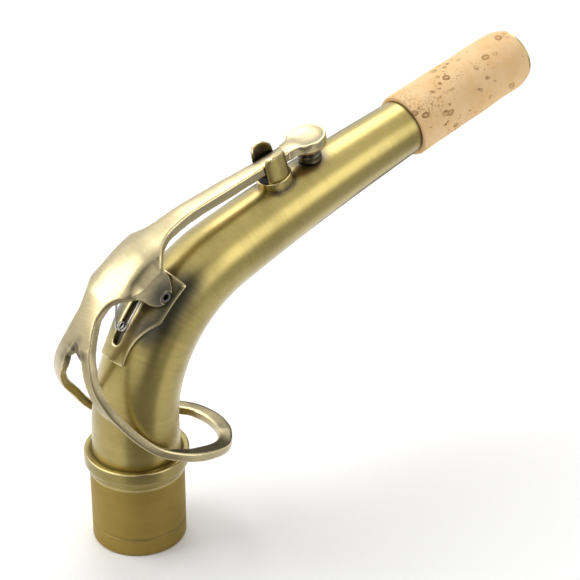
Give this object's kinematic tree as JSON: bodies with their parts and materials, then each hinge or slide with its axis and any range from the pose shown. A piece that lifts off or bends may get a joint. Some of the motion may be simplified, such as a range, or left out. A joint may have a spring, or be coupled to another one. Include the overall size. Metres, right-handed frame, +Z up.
{
  "type": "alto saxophone neck with octave key",
  "caption": "Bent brass neck for an alto saxophone: cork sleeve for the mouthpiece, tenon for the body, and a sprung octave key whose pad covers a small pip.",
  "frame": {"origin": "centre of the tenon's open end, where the neck goes into the instrument's body", "axes": "+Z up along the tenon, +X forwards to the cork end, +Y across, along the octave key's hinge"},
  "size_m": [0.1517, 0.0342, 0.1075],
  "materials": {
    "tube_brass": "matte brushed brass, lightly aged",
    "tenon_brass": "bare brass, fine turned lines",
    "dark_brass": "smoked brass, nearly brown",
    "key_brass": "satin brass with rolled bright edges",
    "cork": "sanded natural cork with brown pits",
    "felt": "dense dark felt",
    "pad_leather": "smooth amber-brown pad leather",
    "steel": "turned steel, dark sockets",
    "spring_steel": "bright drawn wire"
  },
  "bodies": {
    "neck": {"neck_tube": "tube_brass", "tenon": "tenon_brass", "collar_ring": "tube_brass", "tip_ring": "tube_brass", "neck_cork": "cork", "hinge_bracket": "dark_brass", "pivot_screw_near": "steel", "pivot_screw_far": "steel", "octave_pip": "tube_brass", "guide_base": "tube_brass", "guide_fork": "tube_brass", "guide_felt": "felt", "key_spring": "spring_steel"},
    "octave_key": {"key_body": "key_brass", "pad_cup": "key_brass", "octave_pad": "pad_leather"}
  },
  "joints": [
    {"name": "octave_key_hinge", "type": "hinge", "parent": "neck", "child": "octave_key", "pos_m": [0.00498, 0, 0.07183], "axis": [0, -1, 0], "range_deg": [0, 3.5], "stiffness_Nm_per_rad": 0.1, "springref_deg": -8.59, "deforming": ["key_spring"]}
  ]
}
